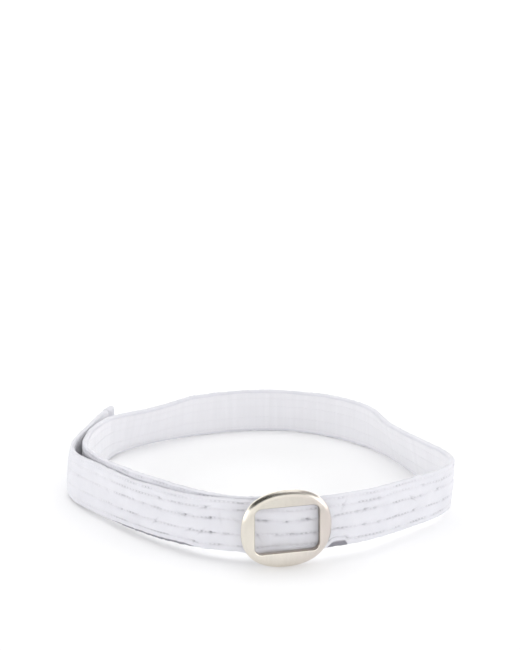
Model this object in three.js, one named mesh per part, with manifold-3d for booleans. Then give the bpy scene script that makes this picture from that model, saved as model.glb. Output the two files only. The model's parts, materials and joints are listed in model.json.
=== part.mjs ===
// Martial arts belt worn as a waist belt: a padded, row-stitched cotton strap
// standing on edge in a closed loop, held by a large cast slide buckle.
//
// Frame: millimetres, +Z up, the buckle on the -Y side, +X to the wearer-side
// right of the buckle seen from outside. Origin at the bottom centre of the
// bounding box. The strap path is drawn in plan as uniform cubic B-splines
// whose control points hold x, y, lift of the lower edge, and inward lean
// in degrees.

import * as THREE from 'three';
import { mergeVertices } from 'three/addons/utils/BufferGeometryUtils.js';
import Module from 'manifold-3d';

const wasm = await Module();
wasm.setup();

// ---------------------------------------------------------------- dimensions
const STRAP_W = 39;          // height of the strap as it stands on edge
const STRAP_T = 4.5;         // thickness over cover, padding and lining
const COVER_T = 0.7;         // outer cotton cover, folded round both edges
const LINING_T = 0.7;        // smooth cotton lining on the waist side
const GAP = 0.3;             // running gap between neighbouring solids
const THREAD_W = 0.8;        // width of a stitch row
const THREAD_H = 0.4;        // height of a stitch row over the cover
const ROWS = [4.7, 13.5, 24.2, 31.3, 36.5]; // stitch rows, from the lower edge
const STEP = 12;             // spacing of the sections along the strap

const LOOP_CENTRE = [2.5, -28.8];  // centre of the arc the strap takes at the buckle
const OUTER_R = 130;         // radius of the tail's outer face at the buckle
const ARC_PHI = 6;           // direction of the buckle seen from that centre, degrees
const LIFT = 8.5;            // lower edge of the strap over the floor at the buckle

const BUCKLE_YAW = 15;       // direction the buckle plate faces, degrees
const BUCKLE_A = 32.7;       // half width of the buckle
const BUCKLE_B = 28;         // half height of the buckle
const BUCKLE_N = 2.3;       // squareness of the cushion outline
const BUCKLE_T = 4.5;        // plate thickness
const BEVEL = 0.9;           // edge bevel on the plate
const WINDOW_A = 23.25;      // half width of the window
const WINDOW_B = 16.5;         // half height of the window
const WINDOW_R = 5;          // corner radius of the window
const BAR_R = 1.5;           // centre bar radius
const BAR_HOLE_R = 1.85;     // holes in the lugs that take the bar
const BAR_SETBACK = 10.9;     // bar axis behind the back of the plate
const BAR_HALF = 22.3;       // half length of the bar
const LUG_IN = 20;         // inner end of each lug from the buckle's middle
const LUG_OUT = 22.7;        // outer end of each lug
const LUG_W = 9;             // lug width

const FOLD_IN = BAR_R + GAP; // fabric fold round the bar
const FOLD_OUT = 3.4;
const FOLD_LEN = 12;         // length of the fold's legs behind the bar

const HINGE_S = 275;         // place along the tail where the free end swings
const HINGE_GAP = 3;         // room in the solids for the swing
const HEM_LEN = 12;          // folded hem at the end of the tail
const HEM_T = 0.7;

// middle of the bounding box in the plan the control points are drawn in
const SHIFT_X = -2.097;
const SHIFT_Y = -3.546;

// ------------------------------------------------------------ control points
const LOOP_CTRL = [
  [24.65, -147.34, 8.56, 0], [2.83, -151.29, 8.5, 0], [-17.76, -149.65, 8.49, 0], [-36.73, -142.08, 8.56, 0],
  [-53.92, -130.22, 8.69, 0], [-69.82, -116.62, 8.73, 0], [-84.68, -102.29, 8.49, 0], [-98.29, -87.06, 7.89, 0],
  [-110.6, -70.65, 6.95, 0], [-121.85, -53.21, 5.77, 0], [-131.88, -34.96, 4.43, 0], [-139.32, -15.9, 3.09, 0],
  [-142.39, 4.04, 1.98, 0], [-141.45, 24.58, 1.2, -0.6], [-138.7, 45.36, 0.66, -1.19], [-135.09, 65.94, 0.28, 1.43],
  [-128.94, 85.36, 0, 8.81], [-118.3, 102.47, 0, 17.36], [-103.77, 117.09, 0, 20.28], [-87.19, 129.68, 0, 15.71],
  [-69.53, 140.44, 0, 8.02], [-51.08, 149.58, 0, 2.07], [-31.83, 157.03, 0, 0], [-11.74, 162.09, 0, 0],
  [8.88, 163.61, 0, 0], [29.24, 160.65, 0, 0], [48.29, 153.01, 0, 0], [65.5, 141.5, 0, -1.81],
  [80.95, 127.55, 0, -2.88], [94.66, 112.02, 0, 0], [106.16, 95.02, 0, 7.79], [115.25, 76.62, 0, 15.41],
  [122.53, 57.38, 0, 17.37], [129.1, 37.91, 0, 14.64], [135.72, 18.42, 0, 11.02], [142.26, -1.32, 0.38, 7.48],
  [147.28, -21.63, 1.2, 2.89], [148.28, -42.2, 2.4, -2.43], [143.16, -61.82, 3.63, -5.5], [132.25, -79.2, 4.6, -4.43],
  [117.93, -94.21, 5.32, -1.49], [103.02, -108.45, 6.09, 0], [88.86, -123.4, 7.14, 0], [72.79, -136.28, 8.23, 0],
  [54.58, -146.04, 8.66, 0], [34.57, -152.77, 8.25, 0],
];
const TAIL_CTRL = [
  [71.52, -136.88, 8.48, 0], [54.51, -146, 8.5, 0], [36.57, -152.43, 8.51, 0], [17.87, -156.06, 8.48, 0],
  [-1.19, -157.01, 8.52, 0], [-20.23, -155.13, 8.56, 0], [-37.94, -148.18, 7.51, 0], [-53.94, -137.41, 5.95, 0],
  [-68.8, -125.19, 4.88, 0], [-82.97, -112.47, 4.38, 0], [-96.26, -98.96, 4.01, 0], [-108.48, -84.52, 3.55, 0],
  [-120.07, -69.49, 2.99, 0], [-131.62, -54.16, 2.34, 0], [-142.86, -38.33, 1.63, 0], [-151.29, -21.37, 0.96, 0],
  [-153.7, -3.09, 0.49, 0], [-150.72, 15.76, 0.25, 0], [-146.55, 34.62, 0.14, 0], [-143.43, 53.43, 0, 0],
  [-140.64, 72.19, 0, 0], [-136.83, 90.76, 0, 0], [-131.3, 108.98, 0, 0], [-123.93, 126.83, 0, 0],
];

// ------------------------------------------------------------------ the path
function splineAt(ctrl, t) {
  const m = ctrl.length - 3;
  const x = Math.min(Math.max(t, 0), 1) * m;
  const i = Math.min(Math.floor(x), m - 1);
  const u = x - i;
  const b = [
    (1 - u) ** 3 / 6,
    (3 * u ** 3 - 6 * u ** 2 + 4) / 6,
    (-3 * u ** 3 + 3 * u ** 2 + 3 * u + 1) / 6,
    u ** 3 / 6,
  ];
  return [0, 1, 2, 3].map((k) => b[0] * ctrl[i][k] + b[1] * ctrl[i + 1][k]
    + b[2] * ctrl[i + 2][k] + b[3] * ctrl[i + 3][k]);
}

function makePath(ctrl) {
  const n = 4000;
  const pts = [];
  const len = [0];
  for (let i = 0; i <= n; i += 1) {
    pts.push(splineAt(ctrl, i / n));
    if (i) len.push(len[i - 1] + Math.hypot(pts[i][0] - pts[i - 1][0], pts[i][1] - pts[i - 1][1]));
  }
  const total = len[n];
  const at = (s) => {
    let lo = 0;
    let hi = n;
    while (hi - lo > 1) {
      const mid = (lo + hi) >> 1;
      if (len[mid] <= s) lo = mid; else hi = mid;
    }
    const f = (s - len[lo]) / (len[hi] - len[lo]);
    const t = (lo + f) / n;
    const p = splineAt(ctrl, t);
    const a = splineAt(ctrl, t - 1e-3);
    const b = splineAt(ctrl, t + 1e-3);
    const h = Math.hypot(b[0] - a[0], b[1] - a[1]);
    const tx = (b[0] - a[0]) / h;
    const ty = (b[1] - a[1]) / h;
    return { x: p[0] - SHIFT_X, y: p[1] - SHIFT_Y, z: p[2], lean: THREE.MathUtils.degToRad(p[3]), tx, ty };
  };
  return { total, at };
}

// world position of a point w outward of the strap's middle and v above its
// lower edge, at a path sample
function place(q, w, v) {
  const nx = -q.ty;
  const ny = q.tx;
  const c = Math.cos(q.lean);
  const s = Math.sin(q.lean);
  const out = w * c - v * s;
  const lift = q.z + (STRAP_T / 2) * Math.abs(s);
  return [q.x + nx * out, q.y + ny * out, lift + w * s + v * c];
}

// ------------------------------------------------------------ solid builders
function closedGeometry(positions, index) {
  const g = new THREE.BufferGeometry();
  g.setAttribute('position', new THREE.Float32BufferAttribute(positions, 3));
  g.setIndex(index);
  let volume = 0;
  const p = (i) => new THREE.Vector3(positions[3 * i], positions[3 * i + 1], positions[3 * i + 2]);
  for (let i = 0; i < index.length; i += 3) {
    volume += p(index[i]).dot(p(index[i + 1]).cross(p(index[i + 2])));
  }
  if (volume < 0) {
    for (let i = 0; i < index.length; i += 3) {
      const t = index[i + 1];
      index[i + 1] = index[i + 2];
      index[i + 2] = t;
    }
    g.setIndex(index);
  }
  g.computeVertexNormals();
  return g;
}

// sweeps a section, an outline of [w, v] points, along the path from s0 to s1
function sweep(path, section, s0, s1) {
  const count = Math.max(1, Math.round((s1 - s0) / STEP));
  const m = section.length;
  const positions = [];
  const index = [];
  for (let i = 0; i <= count; i += 1) {
    const q = path.at(s0 + ((s1 - s0) * i) / count);
    for (const [w, v] of section) positions.push(...place(q, w, v));
  }
  // every quad is cut from its lower corner to the next section's upper corner,
  // so neighbouring layers keep their gap where the strap twists
  for (let i = 0; i < count; i += 1) {
    for (let j = 0; j < m; j += 1) {
      const a = i * m + j;
      const b = i * m + ((j + 1) % m);
      if (section[j][1] <= section[(j + 1) % m][1]) index.push(a, b, b + m, a, b + m, a + m);
      else index.push(a, b, a + m, b, b + m, a + m);
    }
  }
  const outline = section.map(([w, v]) => new THREE.Vector2(w, v));
  const faces = THREE.ShapeUtils.triangulateShape(outline, []);
  const ccw = THREE.ShapeUtils.area(outline) > 0;
  for (const f of faces) {
    const [a, b, c] = ccw ? f : [f[0], f[2], f[1]];
    index.push(a, c, b);
    index.push(count * m + a, count * m + b, count * m + c);
  }
  // the side quads follow the outline's own direction
  if (!ccw) {
    for (let i = 0; i < count * m * 6; i += 3) {
      const t = index[i + 1];
      index[i + 1] = index[i + 2];
      index[i + 2] = t;
    }
  }
  return closedGeometry(positions, index);
}

const H = STRAP_T / 2;
const COVER_BACK = -H + LINING_T + GAP;
const THIRD = STRAP_W / 3;
const COVER_SECTION = [
  [COVER_BACK, 0], [H, 0], [H, THIRD], [H, 2 * THIRD], [H, STRAP_W], [COVER_BACK, STRAP_W],
  [COVER_BACK, STRAP_W - COVER_T], [H - COVER_T, STRAP_W - COVER_T],
  [H - COVER_T, 2 * THIRD], [H - COVER_T, THIRD],
  [H - COVER_T, COVER_T], [COVER_BACK, COVER_T],
];
const CORE_FRONT = H - COVER_T - GAP;
const CORE_LOW = COVER_T + GAP;
const CORE_SECTION = [
  [COVER_BACK, CORE_LOW], [CORE_FRONT, CORE_LOW], [CORE_FRONT, THIRD], [CORE_FRONT, 2 * THIRD],
  [CORE_FRONT, STRAP_W - CORE_LOW], [COVER_BACK, STRAP_W - CORE_LOW],
  [COVER_BACK, 2 * THIRD], [COVER_BACK, THIRD],
];
const LINING_SECTION = [
  [-H, 0], [-H + LINING_T, 0], [-H + LINING_T, THIRD], [-H + LINING_T, 2 * THIRD],
  [-H + LINING_T, STRAP_W], [-H, STRAP_W], [-H, 2 * THIRD], [-H, THIRD],
];
const threadSection = (v) => [
  [H + GAP, v - THREAD_W / 2], [H + GAP + THREAD_H, v], [H + GAP, v + THREAD_W / 2],
];

// a point on the arc at the buckle: u along it, to the right, and w outward of
// the bar's radius
const BAR_RADIUS = OUTER_R - STRAP_T - 0.4 - FOLD_OUT;
function arcPoint(u, w) {
  const a = THREE.MathUtils.degToRad(ARC_PHI) + u / BAR_RADIUS;
  const r = BAR_RADIUS + w;
  return [
    LOOP_CENTRE[0] - SHIFT_X + r * Math.sin(a),
    LOOP_CENTRE[1] - SHIFT_Y - r * Math.cos(a),
  ];
}

// an upright solid whose plan is an outline of [x, y] points
function upright(points, z0, height) {
  const shape = new THREE.Shape(points.map(([x, y]) => new THREE.Vector2(x, y)));
  const g = new THREE.ExtrudeGeometry(shape, { depth: height, bevelEnabled: false, steps: 1 });
  g.translate(0, 0, z0);
  return g;
}

// --------------------------------------------------------- manifold booleans
function toManifold(geometry) {
  const g = geometry.clone();
  g.deleteAttribute('normal');
  g.deleteAttribute('uv');
  const merged = mergeVertices(g, 1e-4);
  return new wasm.Manifold(new wasm.Mesh({
    numProp: 3,
    vertProperties: new Float32Array(merged.attributes.position.array),
    triVerts: new Uint32Array(merged.index.array),
  }));
}
function fromManifold(solid) {
  const m = solid.getMesh();
  const g = new THREE.BufferGeometry();
  g.setAttribute('position', new THREE.BufferAttribute(new Float32Array(m.vertProperties), 3));
  g.setIndex(new THREE.BufferAttribute(new Uint32Array(m.triVerts), 1));
  g.computeVertexNormals();
  return g;
}

// ----------------------------------------------------------------- materials
const coverMat = new THREE.MeshStandardMaterial({ color: 0xf1f0f5, roughness: 0.9, metalness: 0 });
const liningMat = new THREE.MeshStandardMaterial({ color: 0xebebed, roughness: 0.85, metalness: 0 });
const coreMat = new THREE.MeshStandardMaterial({ color: 0xe4e2dc, roughness: 1, metalness: 0 });
const threadMat = new THREE.MeshStandardMaterial({ color: 0xe6e5ea, roughness: 0.7, metalness: 0 });
const buckleMat = new THREE.MeshStandardMaterial({ color: 0xc4c0b8, roughness: 0.32, metalness: 1 });
const barMat = new THREE.MeshStandardMaterial({ color: 0xb2b2b4, roughness: 0.35, metalness: 1 });

function named(name, geometry, material) {
  const mesh = new THREE.Mesh(geometry, material);
  mesh.name = name;
  return mesh;
}

// --------------------------------------------------------------------- build
const belt = new THREE.Group();
const loop = makePath(LOOP_CTRL);
const tail = makePath(TAIL_CTRL);

// one length of strap: cover, padding, lining and its stitch rows
function strapLength(prefix, path, s0, s1, threadEnd = 1) {
  const group = new THREE.Group();
  group.add(named(`${prefix}_cover`, sweep(path, COVER_SECTION, s0, s1), coverMat));
  group.add(named(`${prefix}_padding`, sweep(path, CORE_SECTION, s0, s1), coreMat));
  group.add(named(`${prefix}_lining`, sweep(path, LINING_SECTION, s0, s1), liningMat));
  ROWS.forEach((v, i) => {
    group.add(named(`${prefix}_stitch_row_${i + 1}`,
      sweep(path, threadSection(v), s0 + 1, s1 - threadEnd), threadMat));
  });
  return group;
}

// the loop round the waist, from the bar to just right of the buckle
belt.add(strapLength('loop', loop, 0, loop.total - 0.8));

// the tail, through the buckle and over the loop, and its free end
const tailEnd = tail.total;
belt.add(strapLength('tail', tail, 0, HINGE_S - HINGE_GAP / 2));
belt.add(strapLength('tail_end', tail, HINGE_S + HINGE_GAP / 2, tailEnd, HEM_LEN + 1));

// the hem folded over the end of the tail: a U in plan along the last stretch
{
  const outer = [];
  const inner = [];
  const reach = STRAP_T / 2 + GAP + HEM_T;
  const from = tailEnd - HEM_LEN;
  const sampleAt = (s) => tail.at(Math.min(s, tailEnd));
  const beyond = (s, w) => {
    const q = sampleAt(s);
    const extra = Math.max(0, s - tailEnd);
    const nx = -q.ty;
    const ny = q.tx;
    return [q.x + nx * w + q.tx * extra, q.y + ny * w + q.ty * extra];
  };
  const stop = tailEnd + GAP;
  for (const s of [from, from + HEM_LEN / 2, stop]) inner.push(s);
  for (const s of [from, from + HEM_LEN / 2, stop + HEM_T]) outer.push(s);
  const points = [];
  for (const s of outer) points.push(beyond(s, reach));
  for (const s of [...outer].reverse()) points.push(beyond(s, -reach));
  for (const s of inner) points.push(beyond(s, -(STRAP_T / 2 + GAP)));
  for (const s of [...inner].reverse()) points.push(beyond(s, STRAP_T / 2 + GAP));
  belt.add(named('tail_hem', upright(points, 0.4, STRAP_W - 0.8), coverMat));
  const s = from + 3;
  const band = [beyond(s - 0.4, reach + GAP), beyond(s, reach + GAP + THREAD_H), beyond(s + 0.4, reach + GAP)];
  belt.add(named('tail_hem_stitch', upright(band, 2, STRAP_W - 4), threadMat));
}

// the fixed end of the strap, folded round the centre bar
{
  const points = [];
  const leg = [-FOLD_LEN, -FOLD_LEN / 2];
  for (const u of leg) points.push(arcPoint(u, FOLD_OUT));
  for (let i = 0; i <= 10; i += 1) {
    const a = Math.PI / 2 - (Math.PI * i) / 10;
    points.push(arcPoint(FOLD_OUT * Math.cos(a), FOLD_OUT * Math.sin(a)));
  }
  for (const u of [...leg].reverse()) points.push(arcPoint(u, -FOLD_OUT));
  for (const u of leg) points.push(arcPoint(u, -FOLD_IN));
  for (let i = 0; i <= 10; i += 1) {
    const a = -Math.PI / 2 + (Math.PI * i) / 10;
    points.push(arcPoint(FOLD_IN * Math.cos(a), FOLD_IN * Math.sin(a)));
  }
  for (const u of [...leg].reverse()) points.push(arcPoint(u, FOLD_IN));
  belt.add(named('bar_fold', upright(points, LIFT, STRAP_W), coverMat));
  const band = [arcPoint(-9.4, -FOLD_OUT - GAP), arcPoint(-9, -FOLD_OUT - GAP - THREAD_H), arcPoint(-8.6, -FOLD_OUT - GAP)];
  belt.add(named('bar_fold_stitch', upright(band, LIFT + 3, STRAP_W - 6), threadMat));
}

// the buckle: a cushion-shaped plate with a window, and two lugs behind its
// rails that carry the centre bar
{
  const buckle = new THREE.Group();
  const bar = arcPoint(0, 0);
  const yaw = THREE.MathUtils.degToRad(BUCKLE_YAW);
  const across = new THREE.Vector3(Math.cos(yaw), Math.sin(yaw), 0);
  const up = new THREE.Vector3(0, 0, 1);
  const front = new THREE.Vector3(Math.sin(yaw), -Math.cos(yaw), 0);
  const turn = new THREE.Matrix4().makeBasis(across, up, front);

  const outline = [];
  const sides = 56;
  for (let i = 0; i < sides; i += 1) {
    const a = (2 * Math.PI * i) / sides;
    const c = Math.cos(a);
    const s = Math.sin(a);
    outline.push(new THREE.Vector2(
      BUCKLE_A * Math.sign(c) * Math.abs(c) ** (2 / BUCKLE_N),
      BUCKLE_B * Math.sign(s) * Math.abs(s) ** (2 / BUCKLE_N),
    ));
  }
  const shape = new THREE.Shape(outline);
  const hole = new THREE.Path();
  const corner = (cx, cy, from) => hole.absarc(cx, cy, WINDOW_R, from, from + Math.PI / 2, false);
  hole.moveTo(WINDOW_A, -WINDOW_B + WINDOW_R);
  corner(WINDOW_A - WINDOW_R, WINDOW_B - WINDOW_R, 0);
  corner(-WINDOW_A + WINDOW_R, WINDOW_B - WINDOW_R, Math.PI / 2);
  corner(-WINDOW_A + WINDOW_R, -WINDOW_B + WINDOW_R, Math.PI);
  corner(WINDOW_A - WINDOW_R, -WINDOW_B + WINDOW_R, 1.5 * Math.PI);
  shape.holes.push(hole);
  const plate = new THREE.ExtrudeGeometry(shape, {
    depth: BUCKLE_T - 2 * BEVEL,
    curveSegments: 5,
    bevelEnabled: true,
    bevelThickness: BEVEL,
    bevelSize: BEVEL,
    bevelOffset: -BEVEL,
    bevelSegments: 2,
  });
  plate.translate(0, 0, BEVEL);
  let solid = toManifold(plate);
  const lugDepth = BAR_SETBACK + 3.2;
  for (const side of [1, -1]) {
    const lug = new THREE.BoxGeometry(LUG_W, LUG_OUT - LUG_IN, lugDepth + 1);
    lug.translate(0, (side * (LUG_IN + LUG_OUT)) / 2, (1 - lugDepth) / 2);
    solid = solid.add(toManifold(lug));
  }
  const drill = new THREE.CylinderGeometry(BAR_HOLE_R, BAR_HOLE_R, 2 * LUG_OUT + 4, 16);
  drill.translate(0, 0, -BAR_SETBACK);
  solid = solid.subtract(toManifold(drill));
  const plateGeometry = fromManifold(solid);
  plateGeometry.translate(0, 0, BAR_SETBACK);
  plateGeometry.applyMatrix4(turn);
  buckle.add(named('buckle_frame', plateGeometry, buckleMat));

  const rod = new THREE.CylinderGeometry(BAR_R, BAR_R, 2 * BAR_HALF, 16);
  rod.applyMatrix4(turn);
  buckle.add(named('buckle_bar', rod, barMat));
  buckle.position.set(bar[0], bar[1], BUCKLE_B);
  belt.add(buckle);
}

export default belt;
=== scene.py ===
"""Looks of the padded belt with its slide buckle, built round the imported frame."""
import json
import math

import bpy
import numpy as np
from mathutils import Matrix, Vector


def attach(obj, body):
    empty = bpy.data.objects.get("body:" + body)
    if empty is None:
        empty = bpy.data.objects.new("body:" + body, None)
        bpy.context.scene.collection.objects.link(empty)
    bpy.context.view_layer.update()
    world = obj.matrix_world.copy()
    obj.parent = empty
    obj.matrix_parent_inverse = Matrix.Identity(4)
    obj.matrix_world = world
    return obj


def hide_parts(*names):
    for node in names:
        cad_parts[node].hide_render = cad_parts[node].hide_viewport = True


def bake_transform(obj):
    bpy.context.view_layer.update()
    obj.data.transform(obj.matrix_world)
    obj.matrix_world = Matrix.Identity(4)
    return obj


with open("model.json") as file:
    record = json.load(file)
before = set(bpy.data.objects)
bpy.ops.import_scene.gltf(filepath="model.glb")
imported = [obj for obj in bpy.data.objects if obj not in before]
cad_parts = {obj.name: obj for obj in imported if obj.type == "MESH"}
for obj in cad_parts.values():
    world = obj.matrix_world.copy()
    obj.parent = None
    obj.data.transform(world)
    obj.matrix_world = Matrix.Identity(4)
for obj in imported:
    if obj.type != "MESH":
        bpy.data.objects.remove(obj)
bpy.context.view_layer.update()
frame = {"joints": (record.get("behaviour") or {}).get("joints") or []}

MM = 0.001
scene = bpy.context.scene

# ------------------------------------------------------------------ camera
cam_data = bpy.data.cameras.new("camera")
cam = bpy.data.objects.new("camera", cam_data)
scene.collection.objects.link(cam)
cam.location = (0.002097, -1.075454, 0.379)
cam.rotation_euler = (math.radians(90 - 12.67), 0, 0)
cam_data.sensor_width = 36
cam_data.lens = 77.54
cam_data.clip_end = 50
scene.camera = cam

# ------------------------------------------------- path, as in the CAD model
SHIFT = np.array([-2.097, -3.546])
W = 39.0
T = 4.5
LOOP_CTRL = [
  [24.65, -147.34, 8.56, 0], [2.83, -151.29, 8.5, 0], [-17.76, -149.65, 8.49, 0], [-36.73, -142.08, 8.56, 0],
  [-53.92, -130.22, 8.69, 0], [-69.82, -116.62, 8.73, 0], [-84.68, -102.29, 8.49, 0], [-98.29, -87.06, 7.89, 0],
  [-110.6, -70.65, 6.95, 0], [-121.85, -53.21, 5.77, 0], [-131.88, -34.96, 4.43, 0], [-139.32, -15.9, 3.09, 0],
  [-142.39, 4.04, 1.98, 0], [-141.45, 24.58, 1.2, -0.6], [-138.7, 45.36, 0.66, -1.19], [-135.09, 65.94, 0.28, 1.43],
  [-128.94, 85.36, 0, 8.81], [-118.3, 102.47, 0, 17.36], [-103.77, 117.09, 0, 20.28], [-87.19, 129.68, 0, 15.71],
  [-69.53, 140.44, 0, 8.02], [-51.08, 149.58, 0, 2.07], [-31.83, 157.03, 0, 0], [-11.74, 162.09, 0, 0],
  [8.88, 163.61, 0, 0], [29.24, 160.65, 0, 0], [48.29, 153.01, 0, 0], [65.5, 141.5, 0, -1.81],
  [80.95, 127.55, 0, -2.88], [94.66, 112.02, 0, 0], [106.16, 95.02, 0, 7.79], [115.25, 76.62, 0, 15.41],
  [122.53, 57.38, 0, 17.37], [129.1, 37.91, 0, 14.64], [135.72, 18.42, 0, 11.02], [142.26, -1.32, 0.38, 7.48],
  [147.28, -21.63, 1.2, 2.89], [148.28, -42.2, 2.4, -2.43], [143.16, -61.82, 3.63, -5.5], [132.25, -79.2, 4.6, -4.43],
  [117.93, -94.21, 5.32, -1.49], [103.02, -108.45, 6.09, 0], [88.86, -123.4, 7.14, 0], [72.79, -136.28, 8.23, 0],
  [54.58, -146.04, 8.66, 0], [34.57, -152.77, 8.25, 0],
]
TAIL_CTRL = [
  [71.52, -136.88, 8.48, 0], [54.51, -146, 8.5, 0], [36.57, -152.43, 8.51, 0], [17.87, -156.06, 8.48, 0],
  [-1.19, -157.01, 8.52, 0], [-20.23, -155.13, 8.56, 0], [-37.94, -148.18, 7.51, 0], [-53.94, -137.41, 5.95, 0],
  [-68.8, -125.19, 4.88, 0], [-82.97, -112.47, 4.38, 0], [-96.26, -98.96, 4.01, 0], [-108.48, -84.52, 3.55, 0],
  [-120.07, -69.49, 2.99, 0], [-131.62, -54.16, 2.34, 0], [-142.86, -38.33, 1.63, 0], [-151.29, -21.37, 0.96, 0],
  [-153.7, -3.09, 0.49, 0], [-150.72, 15.76, 0.25, 0], [-146.55, 34.62, 0.14, 0], [-143.43, 53.43, 0, 0],
  [-140.64, 72.19, 0, 0], [-136.83, 90.76, 0, 0], [-131.3, 108.98, 0, 0], [-123.93, 126.83, 0, 0],
]


def spline(ctrl, t):
    c = np.asarray(ctrl, float)
    m = len(c) - 3
    x = np.clip(t, 0, 1) * m
    i = np.minimum(np.floor(x).astype(int), m - 1)
    u = (x - i)[:, None]
    return (
        (1 - u) ** 3 / 6 * c[i]
        + (3 * u**3 - 6 * u**2 + 4) / 6 * c[i + 1]
        + (-3 * u**3 + 3 * u**2 + 3 * u + 1) / 6 * c[i + 2]
        + u**3 / 6 * c[i + 3]
    )


def smoothstep(x):
    x = np.clip(x, 0, 1)
    return x * x * (3 - 2 * x)


def arclength(p):
    return np.concatenate([[0], np.cumsum(np.hypot(*np.diff(p[:, :2], axis=0).T))])


t_dense = np.linspace(0, 1, 6001)
loop_pts = spline(LOOP_CTRL, t_dense)
tail_pts = spline(TAIL_CTRL, t_dense)
L_LOOP = arclength(loop_pts)[-1]
# the loop runs on into the tail without a step
ls = arclength(loop_pts)
loop_pts += (tail_pts[0] - loop_pts[-1]) * smoothstep((ls - (L_LOOP - 60)) / 60)[:, None]
pts = np.vstack([loop_pts[:-1], tail_pts])
S_ALL = arclength(pts)
L_LOOP = S_ALL[len(loop_pts) - 1]
L_ALL = S_ALL[-1]
S_TAB = np.arange(0, L_ALL, 0.25)
TAB = np.stack([np.interp(S_TAB, S_ALL, pts[:, k]) for k in range(4)], 1)
kern = np.hanning(41)
kern /= kern.sum()
pad = 20
ext = np.vstack([TAB[0] + (TAB[0] - TAB[1]) * np.arange(pad, 0, -1)[:, None], TAB,
                 TAB[-1] + (TAB[-1] - TAB[-2]) * np.arange(1, pad + 1)[:, None]])
TAB = np.stack([np.convolve(ext[:, k], kern, mode="valid") for k in range(4)], 1)
TAB[:, :2] -= SHIFT
TAN = np.gradient(TAB[:, :2], axis=0)
TAN /= np.linalg.norm(TAN, axis=1)[:, None]


def path(S):
    """x, y, lift, lean, tangent at S, running straight on past either end."""
    S = np.asarray(S, float)
    Sc = np.clip(S, 0, S_TAB[-1])
    q = [np.interp(Sc, S_TAB, TAB[:, k]) for k in range(4)]
    tx = np.interp(Sc, S_TAB, TAN[:, 0])
    ty = np.interp(Sc, S_TAB, TAN[:, 1])
    h = np.hypot(tx, ty)
    tx, ty = tx / h, ty / h
    over = S - Sc
    return q[0] + tx * over, q[1] + ty * over, q[2], np.radians(q[3]), tx, ty


# where the tail lies along the loop its upper edge leans in against it
_d = S_TAB[S_TAB > L_LOOP + 40] - L_LOOP
_q = TAB[S_TAB > L_LOOP + 40][:, :2]
_l = TAB[(S_TAB < L_LOOP - 200)][::4, :2]
GAP = np.sqrt(((_q[:, None] - _l[None]) ** 2).sum(2)).min(1) - T
LEAN_IN = np.clip(GAP - 0.3, 0, 2.6) * smoothstep((_d - 60) / 30) * smoothstep((318 - _d) / 40)


def place(S, w, v):
    """Points in the row frame, mm: S along the strap, w outward, v up."""
    x, y, z, lean, tx, ty = path(S)
    c, s = np.cos(lean), np.sin(lean)
    v = np.asarray(v, float)
    inward = np.interp(S - L_LOOP, _d, LEAN_IN, left=0.0) * np.clip((v - 12.0) / (W - 12.0), 0, 1.05) ** 1.5
    out = w * c - v * s - inward
    up = z + (T / 2) * np.abs(s) + w * s + v * c
    return np.stack(np.broadcast_arrays(x - ty * out, y + tx * out, up), -1)


# ------------------------------------------------------------- smooth noise
def _hash(ix, iy, seed):
    h = (ix.astype(np.int64) * 374761393 + iy.astype(np.int64) * 668265263 + seed * 1442695041) & 0xFFFFFFFF
    h = ((h ^ (h >> 13)) * 1274126177) & 0xFFFFFFFF
    h = h ^ (h >> 16)
    return (h & 0xFFFFFF) / float(0xFFFFFF) * 2 - 1


def noise(x, y, seed=0):
    """Smooth value noise, about -1 to 1."""
    x, y = np.broadcast_arrays(np.asarray(x, float), np.asarray(y, float))
    ix, iy = np.floor(x), np.floor(y)
    fx, fy = x - ix, y - iy
    fx = fx**3 * (fx * (fx * 6 - 15) + 10)
    fy = fy**3 * (fy * (fy * 6 - 15) + 10)
    a = _hash(ix, iy, seed)
    b = _hash(ix + 1, iy, seed)
    c = _hash(ix, iy + 1, seed)
    d = _hash(ix + 1, iy + 1, seed)
    return (a * (1 - fx) + b * fx) * (1 - fy) + (c * (1 - fx) + d * fx) * fy


# -------------------------------------------------------- the padded surface
ROWS = [4.7, 13.5, 24.2, 31.3, 36.5]
PITCH = 3.4          # stitch length, mm


def row_v(k, S):
    """Height of stitch row k, which wanders a little as hand-fed rows do."""
    amp = (0.35, 0.55, 0.75, 0.5, 0.25)[k]
    v = ROWS[k] + amp * noise(S / 23.0, 3.7 * k, 11) + 0.35 * amp * noise(S / 8.0, 5.1 * k, 12)
    if k == 2:  # this row sags where the strap crosses the bar
        v = v - 1.7 * np.exp(-(((S - 921.0) / 11.0) ** 2))
    return v


def calm(S):
    """The tail is pulled flatter, and its rows show less, towards its turn."""
    return 1 - 0.62 * smoothstep((S - (L_LOOP + 165.0)) / 55.0)


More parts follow.
